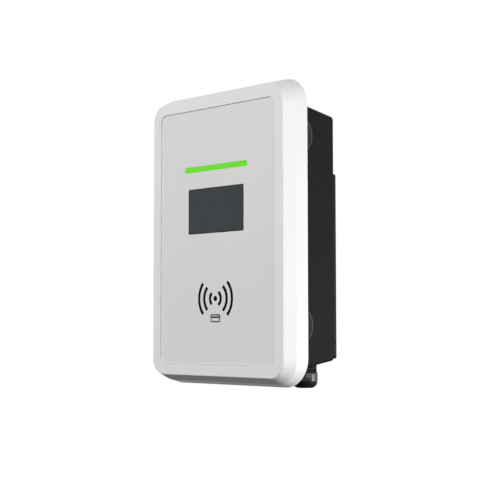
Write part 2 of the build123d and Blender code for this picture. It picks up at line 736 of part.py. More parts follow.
# Terminal blocks: wire entries from below, clamp screws in wells from the front
well_floor_h = main_board_h + terminal_height - well_depth
pole_offsets = [(i - (terminal_poles - 1) / 2) * terminal_pitch for i in range(terminal_poles)]
for name, side in (("supply", -1), ("output", 1)):
    poles = [(side * terminal_x + offset, terminal_z) for offset in pole_offsets]

    with BuildPart() as terminals:
        blocks(front(main_board_h), [(side * terminal_x, terminal_z)], terminal_width,
               terminal_depth, terminal_height)
        rods(Plane.XY.offset(terminal_z - terminal_depth / 2),
             [(x, -(main_board_h + entry_height)) for x, z in poles], entry_radius,
             terminal_depth - entry_radius, Mode.SUBTRACT)
        rods(front(well_floor_h), poles, clamp_head_radius + well_gap, well_depth, Mode.SUBTRACT)
        rods(front(well_floor_h), poles, clamp_radius + thread_gap,
             -(well_floor_h - main_board_h - entry_height), Mode.SUBTRACT)
    terminals.part.label = f"{name}_terminals"
    export_step(terminals.part, f"parts/{name}_terminals.step")

    with BuildPart() as clamp_screws:
        screws(well_floor_h, poles, (clamp_head_radius, clamp_head_height),
               (clamp_radius, clamp_length))
    clamp_screws.part.label = f"{name}_terminal_screws"
    export_step(clamp_screws.part, f"parts/{name}_terminal_screws.step")

# Sealed relays, one for each side of the circuit
for name, side in (("left", -1), ("right", 1)):
    with BuildPart() as relay:
        blocks(front(main_board_h), [(side * relay_x, relay_z)], relay_width, relay_depth,
               relay_height)
        fillet(relay.faces().sort_by(Axis.Y)[0].edges(), module_corner)
    relay.part.label = f"{name}_relay"
    export_step(relay.part, f"parts/{name}_relay.step")

# Residual-current sensor and the copper links that pass through it
bore_h = main_board_h + sensor_height / 2
with BuildPart() as current_sensor:
    blocks(front(main_board_h), [(0, relay_z)], sensor_width, sensor_depth, sensor_height)
    fillet(current_sensor.faces().sort_by(Axis.Y)[0].edges().filter_by(Axis.Z), module_corner)
    rods(Plane.XY.offset(relay_z - sensor_depth / 2), [(0, -bore_h)], sensor_bore, sensor_depth,
         Mode.SUBTRACT)
current_sensor.part.label = "current_sensor"
export_step(current_sensor.part, "parts/current_sensor.step")

link_span = sensor_depth + 2 * (link_reach + link_side)
link_top_h = bore_h + link_side / 2
with BuildPart() as sensor_links:
    with BuildSketch(front(main_board_h)):
        with Locations((0, relay_z)):
            with GridLocations(link_pitch, 0, link_count, 1):
                Rectangle(link_side, link_span)
    extrude(amount=link_top_h - main_board_h)
    with BuildSketch(front(main_board_h)):
        with Locations((0, relay_z)):
            with GridLocations(link_pitch, 0, link_count, 1):
                Rectangle(link_side, link_span - 2 * link_side)
    extrude(amount=link_top_h - main_board_h - link_side, mode=Mode.SUBTRACT)
sensor_links.part.label = "sensor_links"
export_step(sensor_links.part, "parts/sensor_links.step")

# Sealed power module, capacitors and shielded control module
with BuildPart() as power_module:
    blocks(front(main_board_h), [(-quarter_x, power_z)], power_width, power_depth, power_height)
    fillet(power_module.faces().sort_by(Axis.Y)[0].edges(), module_corner)
power_module.part.label = "power_module"
export_step(power_module.part, "parts/power_module.step")

capacitor_pitch = 2 * capacitor_radius + capacitor_gap
for number in range(capacitor_count):
    capacitor_x = quarter_x + (number - (capacitor_count - 1) / 2) * capacitor_pitch
    with BuildPart() as capacitor:
        rods(front(main_board_h), [(capacitor_x, power_z)], capacitor_radius, capacitor_height)
        fillet(capacitor.faces().sort_by(Axis.Y)[0].edges(), capacitor_round)
    capacitor.part.label = f"capacitor_{number + 1}"
    export_step(capacitor.part, f"parts/capacitor_{number + 1}.step")

with BuildPart() as control_module:
    blocks(front(main_board_h), [(quarter_x, control_z)], control_width, control_depth,
           control_height, corner=board_corner)
control_module.part.label = "control_module"
export_step(control_module.part, "parts/control_module.step")

# Header on the main board and the flat ribbon cable to the display board
with BuildPart() as main_header:
    blocks(front(main_board_h), [(0, header_z)], header_width, header_depth, header_height)
main_header.part.label = "main_header"
export_step(main_header.part, "parts/main_header.step")

ribbon_start_h = main_board_h + header_height
ribbon_end_h = front_board_back_h - header_height
with BuildPart() as ribbon_cable:
    with BuildSketch(Plane.YZ):
        with BuildLine():
            FilletPolyline(
                (-ribbon_start_h, header_z),
                (-(ribbon_start_h + ribbon_lead), header_z),
                (-(ribbon_end_h - ribbon_lead), display_header_z),
                (-ribbon_end_h, display_header_z),
                radius=ribbon_bend,
            )
        trace(line_width=ribbon_thickness)
    extrude(amount=ribbon_width / 2, both=True)
ribbon_cable.part.label = "ribbon_cable"
export_step(ribbon_cable.part, "parts/ribbon_cable.step")

# Current selector: a screwdriver dial that turns in its base
selector_point = [(selector_x, control_z)]
selector_top_h = main_board_h + selector_height
with BuildPart() as selector_base:
    blocks(front(main_board_h), selector_point, selector_side, selector_side, selector_height)
    rods(front(main_board_h + selector_floor), selector_point, stem_radius + stem_gap,
         selector_height - selector_floor, Mode.SUBTRACT)
selector_base.part.label = "selector_base"
export_step(selector_base.part, "parts/selector_base.step")

with BuildPart() as current_selector:
    rods(front(main_board_h + selector_floor + stem_gap), selector_point, stem_radius,
         selector_height - selector_floor - stem_gap + dial_gap)
    rods(front(selector_top_h + dial_gap), selector_point, dial_radius, dial_height)
    blocks(front(selector_top_h + dial_gap + dial_height), selector_point, dial_slot,
           2 * dial_radius * dial_slot_share, -dial_height / 2, Mode.SUBTRACT)
current_selector.part.label = "current_selector"
export_step(current_selector.part, "parts/current_selector.step")

# Reset button: a collared plunger that travels in its base
button_point = [(button_x, control_z)]
button_top_h = main_board_h + button_height
roof_h = button_top_h - button_roof
collar_front_h = roof_h - button_play
with BuildPart() as button_base:
    blocks(front(main_board_h), button_point, button_side, button_side, button_height)
    rods(front(main_board_h), button_point, plunger_collar + plunger_gap,
         roof_h - main_board_h, Mode.SUBTRACT)
    rods(front(roof_h), button_point, plunger_radius + plunger_gap, button_roof, Mode.SUBTRACT)
button_base.part.label = "button_base"
export_step(button_base.part, "parts/button_base.step")

with BuildPart() as reset_button:
    rods(front(collar_front_h), button_point, plunger_collar, -plunger_collar_height)
    rods(front(collar_front_h), button_point, plunger_radius,
         button_top_h - collar_front_h + plunger_proud)
reset_button.part.label = "reset_button"
export_step(reset_button.part, "parts/reset_button.step")
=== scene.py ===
"""Dresses the wall charging box: finishes, printed marks, screws, glands and the stage."""

import json
import math

import bmesh
import bpy
from mathutils import Matrix, Vector


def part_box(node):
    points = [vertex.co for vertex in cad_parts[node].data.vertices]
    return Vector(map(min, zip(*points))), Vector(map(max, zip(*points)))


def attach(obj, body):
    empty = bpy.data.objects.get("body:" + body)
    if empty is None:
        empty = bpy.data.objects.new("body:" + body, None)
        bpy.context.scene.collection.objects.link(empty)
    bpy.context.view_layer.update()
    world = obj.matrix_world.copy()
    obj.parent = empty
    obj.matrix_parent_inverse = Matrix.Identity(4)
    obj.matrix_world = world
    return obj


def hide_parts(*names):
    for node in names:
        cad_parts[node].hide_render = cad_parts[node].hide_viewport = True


bl_info = {
    "name": "Wall charging box",
    "version": (1, 0, 0),
    "blender": (4, 5, 0),
    "location": "3D View > Sidebar > Charging box",
    "description": "Finishes and fine pieces for a wall charging box, fitted to its CAD frame",
    "category": "Object",
}

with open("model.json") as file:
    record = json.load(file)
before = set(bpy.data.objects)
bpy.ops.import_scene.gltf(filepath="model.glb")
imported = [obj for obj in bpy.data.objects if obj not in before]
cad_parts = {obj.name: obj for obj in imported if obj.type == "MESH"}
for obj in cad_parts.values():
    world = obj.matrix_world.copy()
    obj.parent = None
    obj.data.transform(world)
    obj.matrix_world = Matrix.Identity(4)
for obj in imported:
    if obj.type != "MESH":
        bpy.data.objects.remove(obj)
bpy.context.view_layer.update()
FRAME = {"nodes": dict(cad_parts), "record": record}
SLOTS = {part["node"]: part["material_slot"] for part in FRAME["record"]["subparts"]}

MM = 0.001
# Points nearer to each other than this are joined
WELD = 1e-6
FINE_WELD = 1e-7
FACING_ROOM = Matrix.Rotation(math.radians(90), 4, "X")
FACING_WALL = Matrix.Rotation(math.radians(-90), 4, "X")

# Housing's round dishes: radius, middle behind the housing's front edge, and where their floor is
DISH_RADIUS = 0.0198
DISH_FROM_FRONT = 0.0069
DISH_FLOOR = 0.107
# From and to where the dish's polish and painted light end and the painted highlight on its lip begins,
# measured from its radius
DISH_FADE = (-0.0003, 0.0002)
RIM_HIGHLIGHT_FADE = (-0.0016, -0.0006)

# Window: width of its border, half the border's soft edge, and the display's cells per metre
WINDOW_BORDER = 0.0014
BORDER_FADE = 0.0002
DISPLAY_CELLS = 4000.0
# How deep the front panel's face goes before the painted shade on its cut edge, and where the light bar
# turns dark
PANEL_SHADE_DEPTH = 0.0003
LIGHT_BACK = (0.0016, 0.0024)

# Circuit boards: size of a block of like tracks, pitch of the tracks and half their share of it,
# and grid, rim radius and bore radius of the plated holes
BOARD_BLOCK = 0.0127
TRACK_PITCH = 0.00127
TRACK_SHARE = 0.18
HOLE_GRID = 0.00635
HOLE_RIM = 0.00075
# Inside this radius each hole is painted near black as shade
HOLE_BORE = 0.0004
RIBBON_WIRES = 20

# Printed marks: steps along a wave, round its ends, round the dot and round the card's corners
WAVE_STEPS = 24
WAVE_END_STEPS = 8
DOT_SIDES = 32
CARD_CORNER_STEPS = 6
# Card's ring, as a share of its stroke, and height of its stripe, as a share of the card's height
CARD_RING_SHARE = 0.75
STRIPE_RISE_SHARE = 0.14

# Gland nut: length of its polished ribs in metres, half the polish's soft edge, points and ribs
RIB_LENGTH = 0.0105
POLISH_FADE = 0.0004
NUT_POINTS = 96
NUT_RIBS = 24
# Glands' threads in millimetres: roots on the shank inside the box and on the neck under the nut,
# pitch, and where they start and end, from the seal's underside and from the body's ends
SHANK_RADIUS = 12.5
NECK_RADIUS = 12.0
GLAND_PITCH = 1.5
GLAND_STEPS = 48
SHANK_START_ABOVE_SEAL = 2.0
NECK_END_BELOW_SEAL = 3.8
SHORT_OF_END = 0.2
# Depth of their ridges, as a share of the thread's depth, so that their feet lie under the surface
RIDGE_DEPTH_SHARE = 1.3
# Where the corners of any thread's ridge lie, in shares of the pitch
RIDGE_CORNER_SHARES = (0, 0.42, 0.52, 0.94)
# Gland nut in millimetres: radius, depth below its top edge, and how far the ribs stand out
NUT_GRIP = (
    (12.3, 0.0, 0.0),
    (14.2, 0.0, 0.0),
    (15.0, 0.5, 0.15),
    (15.2, 1.2, 0.25),
    (15.2, 9.7, 0.25),
    (15.0, 10.5, 0.1),
)
# The same nut from the grip round the dome and up inside: radius, height above the dome's end
NUT_DOME = (
    (15.0, 7.5),
    (14.6, 4.9),
    (13.6, 2.9),
    (12.0, 1.4),
    (10.2, 0.4),
    (9.0, 0.0),
    (8.5, 0.1),
    (8.2, 0.5),
    (8.2, 2.0),
    (9.6, 2.0),
    (9.6, 5.6),
    (12.3, 5.6),
)
# Pan-head screw: shares of the head's radius and height, then the same for its socket
SCREW_HEAD = ((0.96, 0.0), (1.0, 0.12), (1.0, 0.42), (0.95, 0.7), (0.82, 0.92), (0.64, 1.0))
SCREW_SOCKET = ((0.53, 1.0), (0.5, 0.94), (0.5, 0.5), (0.15, 0.4))
SCREW_POINTS = 24
SOCKET_SIDES = 6
# Length of its tip and radius of the tip's end, in shares of the core's radius
TIP_LENGTH_SHARE = 0.8
TIP_END_SHARE = 0.45
# How far under the head the core widens and the thread ends, in shares of the pitch
RUN_OUT_SHARE = 0.6
THREAD_END_SHARE = 0.3
# Depth of its thread: a share of the pitch and an addition in millimetres
THREAD_DEPTH_SHARE = 0.22
THREAD_DEPTH_MORE = 0.06
# How much further each screw is turned than the one before it
SCREW_TURN = math.radians(23)
# Whether the heads face the room, then in millimetres: radius and height of the head, radius and
# length of the shank, and pitch
SCREW_SETS = {
    "cover_screws": (False, (3.1, 2.2), (1.5, 10.5), 1.1),
    "lock_screws": (True, (4.6, 2.8), (2.5, 9.2), 0.8),
    "front_board_screws": (False, (2.6, 1.8), (1.25, 5.0), 0.9),
    "main_board_screws": (True, (2.6, 1.8), (1.25, 5.0), 0.9),
    "supply_terminal_screws": (True, (3.3, 3.0), (1.8, 5.0), 0.7),
    "output_terminal_screws": (True, (3.3, 3.0), (1.8, 5.0), 0.7),
}

# Stage: metres, watts and radians, and millimetres for the camera's sensor and lens
FLOOR_RADIUS = 4.0
FLOOR_HEIGHT = -1.6
FLOOR_SIDES = 128
FLOOR_COLOUR = (0.14, 0.14, 0.14)
FLOOR_WHITE = 0.92
WHITE = (1, 1, 1)
FILL = 0.01
# Name, place, size and power
LAMPS = (
    ("side_lamp", (2.6, -0.5, 0.2), 1.3, 22.5),
    ("rear_lamp", (1.9, 1.35, -0.65), 1.7, 68.5),
    ("front_lamp", (-0.4, -3.2, 1.4), 1.6, 92.5),
    ("top_lamp", (0.1, -0.6, 2.1), 1.2, 2.4),
)
CAMERA_PLACE = (1.0430, -1.0966, -0.1109)
CAMERA_TURN = math.radians(45)
CAMERA_RISE = 0.0722
CAMERA_SENSOR = 36.0
CAMERA_LENS = 89.45
CAMERA_REACH = 50.0


# Sizes and colours


def length_property(name, description, default):
    """A length in metres, shown with its unit."""
    return bpy.props.FloatProperty(
        name=name, description=description, default=default, unit="LENGTH", precision=5
    )


def colour_property(name, description, default):
    """A linear colour."""
    return bpy.props.FloatVectorProperty(
        name=name, description=description, default=default, subtype="COLOR", min=0, max=1
    )


class WallboxSizes(bpy.types.PropertyGroup):
    """Sizes of the pieces that are added to the frame."""

    mark_height: length_property("Mark height", "Height of the reader mark's middle", -0.0774)
    mark_dot: length_property("Mark dot", "Radius of the reader mark's dot", 0.0032)
    mark_waves: bpy.props.FloatVectorProperty(
        name="Waves",
        description="Radii of the reader mark's waves",
        default=(0.0093, 0.0196, 0.0286),
        unit="LENGTH",
        precision=5,
    )
    mark_reach: bpy.props.FloatProperty(
        name="Wave angle",
        description="Half the angle that the inner wave spans",
        default=math.radians(47),
        subtype="ANGLE",
    )
    mark_narrowing: bpy.props.FloatProperty(
        name="Wave narrowing",
        description="How much less each further wave spans",
        default=math.radians(3),
        subtype="ANGLE",
    )
    mark_stroke: length_property("Stroke", "Width of the printed lines", 0.0040)
    card_drop: length_property("Card drop", "Mark's middle to the middle of the card below it", 0.0239)
    card_width: length_property("Card width", "Width of the card drawn under the mark", 0.0165)
    card_height: length_property("Card height", "Height of the card drawn under the mark", 0.0096)
    card_stroke: length_property("Card stroke", "Width of the card's lines", 0.0019)
    ink: length_property("Ink", "Thickness of the printed ink", 0.00004)
    thread_depth: length_property("Thread depth", "Depth of the glands' threads", 0.00025)


class WallboxColours(bpy.types.PropertyGroup):
    """Colours of the box."""

    cover: colour_property("Cover", "Front cover", (0.86, 0.862, 0.842))
    panel: colour_property("Panel", "Sunk front panel", (0.80, 0.81, 0.795))
    window: colour_property("Window", "Display behind its window", (0.0185, 0.0250, 0.0285))
    light: colour_property("Light", "Lit status bar", (0.125, 0.64, 0.022))
    ink: colour_property("Ink", "Printed marks", (0.0025, 0.0035, 0.0055))
    housing: colour_property("Housing", "Rear housing", (0.0075, 0.0085, 0.0090))
    bracket: colour_property("Bracket", "Powder-coated bracket", (0.0116, 0.0120, 0.0118))
    gland: colour_property("Glands", "Cable glands", (0.011, 0.0118, 0.0118))


# Finishes


def pick(sockets, key):
    """A socket by its place, identifier or name."""
    if isinstance(key, int):
        return sockets[key]
    for socket in sockets:
        if socket.identifier == key:
            return socket
    return sockets[key]


class Value:
    """A node's output that takes part in sums."""

    def __init__(self, finish, socket):
        self.finish = finish
        self.socket = socket

    def __add__(self, other):
        return self.finish.maths("ADD", self, other)

    def __radd__(self, other):
        return self.finish.maths("ADD", other, self)

    def __sub__(self, other):
        return self.finish.maths("SUBTRACT", self, other)

    def __rsub__(self, other):
        return self.finish.maths("SUBTRACT", other, self)

    def __mul__(self, other):
        return self.finish.maths("MULTIPLY", self, other)

    def __rmul__(self, other):
        return self.finish.maths("MULTIPLY", other, self)

    def __truediv__(self, other):
        return self.finish.maths("DIVIDE", self, other)

    def __rtruediv__(self, other):
        return self.finish.maths("DIVIDE", other, self)

    def __mod__(self, other):
        return self.finish.maths("FLOORED_MODULO", self, other)

    def __rmod__(self, other):
        return self.finish.maths("FLOORED_MODULO", other, self)

    def __abs__(self):
        return self.finish.maths("ABSOLUTE", self)

    def __lt__(self, other):
        return self.finish.maths("LESS_THAN", self, other)

    def __gt__(self, other):
        return self.finish.maths("GREATER_THAN", self, other)


class Finish:
    """The nodes of a material or of the world."""

    def __init__(self, owner):
        owner.use_nodes = True
        self.owner = owner
        self.tree = owner.node_tree
        self.tree.nodes.clear()

    def node(self, kind, settings=None, sockets=None, output=0):
        """Adds a node, sets it, fills its sockets with values or links, and returns an output."""
        node = self.tree.nodes.new(kind)
        for name, value in (settings or {}).items():
            setattr(node, name, value)
        for name, value in (sockets or {}).items():
            socket = pick(node.inputs, name)
            if isinstance(value, Value):
                self.tree.links.new(value.socket, socket)
            elif socket.type == "RGBA":
                socket.default_value = (*value, 1)
            else:
                socket.default_value = value
        return Value(self, pick(node.outputs, output))

    def maths(self, operation, *terms):
        """A sum on values and numbers."""
        return self.node("ShaderNodeMath", {"operation": operation}, dict(enumerate(terms)))

    def place(self, scale=(1, 1, 1)):
        """Object coordinates in metres, stretched by a scale."""
        here = self.node("ShaderNodeTexCoord", output="Object")
        if scale == (1, 1, 1):
            return here
        return self.node("ShaderNodeMapping", None, {"Vector": here, "Scale": scale})

    def axes(self, wanted):
        """The wanted parts of the object coordinates, such as XZ, in metres."""
        apart = self.node("ShaderNodeSeparateXYZ", None, {"Vector": self.place()})
        return [Value(self, pick(apart.socket.node.outputs, axis)) for axis in wanted]

    def noise(self, size, detail=2.0, rough=0.5, vector=None):
        """Soft noise whose lumps are about this large, in metres."""
        sockets = {"Vector": vector or self.place(), "Scale": 1 / size, "Detail": detail,
                   "Roughness": rough}
        return self.node("ShaderNodeTexNoise", None, sockets)

    def between(self, value, low, high, start=0.3, end=0.7):
        """Maps a value's range to another, held at both ends."""
        sockets = {"Value": value, 1: start, 2: end, 3: low, 4: high}
        return self.node("ShaderNodeMapRange", {"clamp": True}, sockets)

    def step(self, value, start, end):
        """Rises from 0 to 1 while a value passes from start to end."""
        return self.between(value, 0, 1, start, end)

    def mix(self, share, first, second):
        """A colour between two others."""
        sockets = {"Factor_Float": share, "A_Color": first, "B_Color": second}
        return self.node("ShaderNodeMix", {"data_type": "RGBA"}, sockets, "Result_Color")

    def clouds(self, colour, size, low, high):
        """A colour that drifts slowly between two shares of its brightness."""
        drift = self.between(self.noise(size, detail=3.0), 0, 1)
        return self.mix(drift, shade(colour, low), shade(colour, high))

    def soft_edge(self, radius):
        """Normals that round the edges off."""
        return self.node("ShaderNodeBevel", {"samples": 4}, {"Radius": radius})

    def bump(self, height, depth, normal=None):
        """Normals of a relief, depth metres from its lowest to its highest point."""
        sockets = {"Height": height, "Distance": depth}
        if normal:
            sockets["Normal"] = normal
        return self.node("ShaderNodeBump", None, sockets)

    def surface(self, **sockets):
        """Ends a material in a surface shader. Underscores stand for spaces."""
        named = {name.replace("_", " "): value for name, value in sockets.items()}
        self.end("ShaderNodeOutputMaterial", self.node("ShaderNodeBsdfPrincipled", None, named))
        return self.owner

    def end(self, kind, shader):
        """Joins a shader to the output."""
        self.tree.links.new(shader.socket, self.tree.nodes.new(kind).inputs["Surface"])


def material(name):
    """A new material's nodes."""
    return Finish(bpy.data.materials.new(name))


def shade(colour, share):
    """A colour at a share of its brightness."""
    return tuple(channel * share for channel in colour)


def moulded(name, colour, roughness, grain=0.0006, depth=0.00002, specular=0.5, drift=0.04,
            edge=0.0004, coat=0.0):
    """Moulded plastic: fine grain, faint flow clouds and soft edges."""
    finish = material(name)
    fine = finish.noise(grain, rough=0.6)
    rough = finish.between(finish.noise(0.09, detail=3.0), roughness - 0.04, roughness + 0.04)
    rough = rough + (fine - 0.5) * 0.06
    return finish.surface(
        Base_Color=finish.clouds(colour, 0.09, 1 - drift, 1.0),
        Roughness=rough,
        Normal=finish.bump(fine, depth, finish.soft_edge(edge)),
        Coat_Weight=coat,
        Specular_IOR_Level=specular,
    )


def spark_grain(finish, size):
    """Relief of a spark-eroded mould, from 0 to about 1."""
    pits = finish.node("ShaderNodeTexVoronoi", {"feature": "SMOOTH_F1"},
                       {"Vector": finish.place(), "Scale": 1 / size, "Smoothness": 0.6}, "Distance")
    return pits * 0.6 + finish.noise(size * 0.55, detail=3.0, rough=0.65) * 0.4


def housing_finish(name, colour):
    """Black moulding with a spark-eroded grain, polished and painted lighter inside the four round
    dishes, with a painted highlight on their lips.
    """
    finish = material(name)
    relief = spark_grain(finish, 0.0009)
    x, y, z = finish.axes("XYZ")
    lower, upper = [(low.z + high.z) / 2 for low, high in islands("cover_screws")][:2]
    across = y - (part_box("rear_housing")[0].y + DISH_FROM_FRONT)
    along = abs(z - (upper + lower) / 2) - (upper - lower) / 2
    away = finish.maths("SQRT", across * across + along * along)
    dish_polish_and_painted_light = 1 - finish.step(away, *(DISH_RADIUS + way for way in DISH_FADE))
    dish_polish_and_painted_light = dish_polish_and_painted_light * (abs(x) > DISH_FLOOR)
    painted_rim_highlight = dish_polish_and_painted_light * finish.step(away, *(DISH_RADIUS + way for way in RIM_HIGHLIGHT_FADE))
    tint = finish.clouds(colour, 0.06, 0.86, 1.1)
    tint = finish.mix(finish.step(relief, 0.55, 0.8), tint, shade(colour, 1.6))
    # Painted light: inside the dishes the housing is coloured 3.4 times lighter
    tint = finish.mix(dish_polish_and_painted_light, tint, shade(colour, 3.4))
    # Painted highlight: a thin rim round each dish is coloured 7.5 times lighter
    tint = finish.mix(painted_rim_highlight, tint, shade(colour, 7.5))
    rough = finish.between(finish.noise(0.06, detail=3.0), 0.52, 0.62) - relief * 0.08 - dish_polish_and_painted_light * 0.1
    return finish.surface(
        Base_Color=tint,
        Roughness=rough,
        Coat_Weight=dish_polish_and_painted_light * 0.1,
        Coat_Roughness=0.45,
        Normal=finish.bump(relief * (1 - dish_polish_and_painted_light), 0.00006, finish.soft_edge(0.0005)),
        Specular_IOR_Level=0.035,
    )


def gland_finish(name, colour):
    """Fine-grained black plastic, polished on the gland nuts' ribs."""
    finish = material(name)
    relief = spark_grain(finish, 0.0007)
    z = finish.axes("Z")[0]
    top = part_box("output_gland_nut")[1].z
    low = top - RIB_LENGTH
    polished = finish.step(z, low - POLISH_FADE, low + POLISH_FADE) * (z < top - POLISH_FADE)
    tint = finish.clouds(colour, 0.02, 0.86, 1.1)
    tint = finish.mix(finish.step(relief, 0.55, 0.8), tint, shade(colour, 1.5))
    rough = finish.between(finish.noise(0.02, detail=3.0), 0.5, 0.6) - relief * 0.08 - polished * 0.1
    return finish.surface(
        Base_Color=tint,
        Roughness=rough,
        Coat_Weight=polished * 0.7,
        Coat_Roughness=0.16,
        Normal=finish.bump(relief * (1 - polished), 0.00002, finish.soft_edge(0.0003)),
        Specular_IOR_Level=0.03,
    )


def front_panel_finish(name, colour):
    """Satin panel: a very fine frosting and slow clouds, with painted shade on its cut edge."""
    finish = material(name)
    frost = finish.noise(0.00035, rough=0.7)
    y = finish.axes("Y")[0]
    # Painted shade: the panel's edge, sunk in its groove, is coloured darker
    cut = (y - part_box("front_panel")[0].y) > PANEL_SHADE_DEPTH
    return finish.surface(
        Base_Color=finish.mix(cut, finish.clouds(colour, 0.12, 0.975, 1.0), shade(colour, 0.55)),
        Roughness=finish.between(frost, 0.36, 0.48),
        Normal=finish.bump(frost, 0.000006, finish.soft_edge(0.0003)),
        Specular_IOR_Level=0.3,
    )


def window_finish(name, colour):
    """Smoked window: a thin black printed border round the switched-off display, under gloss."""
    finish = material(name)
    low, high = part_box("display_window")
    middle, half = (low + high) / 2, (high - low) / 2
    x, z = finish.axes("XZ")
    across = abs(x - middle.x) - (half.x - WINDOW_BORDER)
    up = abs(z - middle.z) - (half.z - WINDOW_BORDER)
    border = finish.step(finish.maths("MAXIMUM", across, up), -BORDER_FADE, BORDER_FADE)
    cells = finish.node("ShaderNodeTexChecker", None,
                        {"Vector": finish.place(), "Scale": DISPLAY_CELLS}, "Fac")
    glass = finish.mix(cells * 0.12, finish.clouds(colour, 0.03, 0.85, 1.15), shade(colour, 1.3))
    return finish.surface(
        Base_Color=finish.mix(border, glass, shade(colour, 0.08)),
        Roughness=finish.between(finish.noise(0.03, detail=3.0), 0.10, 0.16) + border * 0.04,
        Normal=finish.bump(finish.noise(0.02, detail=1.0), 0.00002, finish.soft_edge(0.0003)),
        Specular_IOR_Level=0.35,
    )


def light_finish(name, colour):
    """Milky light guide, lit from behind by a row of lamps, and a little paler at each."""
    finish = material(name)
    x, y = finish.axes("XY")
    lamps = islands("status_lamps")
    first = (lamps[0][0].x + lamps[0][1].x) / 2
    pitch = ((lamps[-1][0].x + lamps[-1][1].x) / 2 - first) / (len(lamps) - 1)
    beat = abs(((x - first) / pitch + 0.5) % 1.0 - 0.5) * 2
    glow = finish.mix(finish.step(beat, 0.0, 0.35), shade(colour, 1.06), shade(colour, 0.97))
    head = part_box("light_bar")[0].y
    back = finish.step(y, *(head + depth for depth in LIGHT_BACK))
    glow = finish.mix(back, glow, shade(colour, 0.35))
    return finish.surface(
        Base_Color=finish.clouds(colour, 0.01, 0.12, 0.16),
        Emission_Color=glow,
        Emission_Strength=1.0,
        Roughness=0.45,
        Normal=finish.bump(finish.noise(0.0004), 0.000006, finish.soft_edge(0.0005)),
        Specular_IOR_Level=0.15,
    )


def plated(name, colour, roughness):
    """Zinc-plated steel: faint bluish and straw clouds and fine tumbling marks."""
    finish = material(name)
    marks = finish.noise(0.0003, detail=3.0, rough=0.7)
    stain = finish.between(finish.noise(0.004, detail=3.0), 0, 1)
    tint = finish.mix(stain, (0.60, 0.63, 0.68), (0.71, 0.69, 0.60))
    return finish.surface(
        Base_Color=finish.mix(0.5, tint, colour),
        Metallic=1.0,
        Roughness=finish.between(marks, roughness - 0.08, roughness + 0.1),
        Normal=finish.bump(marks, 0.000008, finish.soft_edge(0.00015)),
    )


def powder_coated(name, colour):
    """Black powder coat with fine orange peel."""
    finish = material(name)
    return finish.surface(
        Base_Color=finish.clouds(colour, 0.05, 0.85, 1.2),
        Roughness=finish.between(finish.noise(0.05, detail=3.0), 0.42, 0.52),
        Normal=finish.bump(finish.noise(0.0011), 0.00005, finish.soft_edge(0.0005)),
        Specular_IOR_Level=0.05,
    )


def circuit_board(name, colour):
    """Solder mask over copper tracks, with plated holes on a grid, their bores painted near black as
    shade.
    """
    finish = material(name)
    x, z = finish.axes("XZ")
    block = finish.node("ShaderNodeCombineXYZ", None, {
        "X": finish.maths("FLOOR", x / BOARD_BLOCK), "Y": finish.maths("FLOOR", z / BOARD_BLOCK)})
    dice = finish.node("ShaderNodeTexWhiteNoise", {"noise_dimensions": "3D"}, {"Vector": block})
    along, up = (abs((way / TRACK_PITCH) % 1.0 - 0.5) < TRACK_SHARE for way in (x, z))
    tracks = finish.node("ShaderNodeMix", None,
                         {"Factor_Float": dice > 0.5, "A_Float": along, "B_Float": up}, "Result_Float")
    tracks = tracks * (dice < 0.82)
    across, high = ((way / HOLE_GRID) % 1.0 - 0.5 for way in (x, z))
    hole = finish.maths("SQRT", across * across + high * high) * HOLE_GRID
    pad = (hole < HOLE_RIM) * (dice < 0.4)
    mask = finish.mix(tracks, shade(colour, 0.8), shade(colour, 1.5))
    tint = finish.mix(pad, mask, (0.62, 0.50, 0.27))
    return finish.surface(
        # Painted shade: the bore of each plated hole is coloured near black
        Base_Color=finish.mix(pad * (hole < HOLE_BORE), tint, (0.02, 0.02, 0.02)),
        Roughness=finish.between(finish.noise(0.01), 0.25, 0.36) - pad * 0.05,
        Metallic=pad,
        Normal=finish.bump(tracks * 0.5 + pad * 0.5, 0.00004),
    )


def ribbon(name, colour):
    """Flat cable: side-by-side wires in grey sleeve with painted shade between them, the first one
    marked red.
    """
    finish = material(name)
    x = finish.axes("X")[0]
    low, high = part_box("ribbon_cable")
    pitch = (high.x - low.x) / RIBBON_WIRES
    wire = abs(((x - low.x) / pitch) % 1.0 - 0.5) * 2
    # Painted shade: each wire is coloured darker towards its sides, where it meets the next
    tint = finish.mix(wire * wire, colour, shade(colour, 0.55))
    return finish.surface(
        Base_Color=finish.mix((x - low.x) < pitch, tint, (0.5, 0.03, 0.02)),
        Roughness=finish.between(finish.noise(0.006), 0.42, 0.55),
        Normal=finish.bump(1 - wire * wire, 0.0003),
    )


def bare_metal(name, colour, roughness, drift):
    """Bare or tinned metal with fine rolling marks."""
    finish = material(name)
    stretched = finish.place(scale=(1, 1, 0.08))
    marks = finish.noise(0.0004, detail=4.0, rough=0.7, vector=stretched)
    return finish.surface(
        Base_Color=finish.clouds(colour, 0.01, 1 - drift, 1.0),
        Metallic=1.0,
        Roughness=finish.between(marks, roughness - 0.07, roughness + 0.08),
        Normal=finish.bump(marks, 0.000005, finish.soft_edge(0.0002)),
    )


def ink_finish(name, colour):
    """Screen-printed ink: a little uneven in cover and gloss."""
    finish = material(name)
    cover = finish.noise(0.0008, detail=3.0, rough=0.6)
    return finish.surface(
        Base_Color=finish.mix(finish.between(cover, 0, 1), colour, shade(colour, 2.0)),
        Roughness=finish.between(cover, 0.44, 0.56),
        Normal=finish.bump(cover, 0.000006),
        Specular_IOR_Level=0.03,
    )


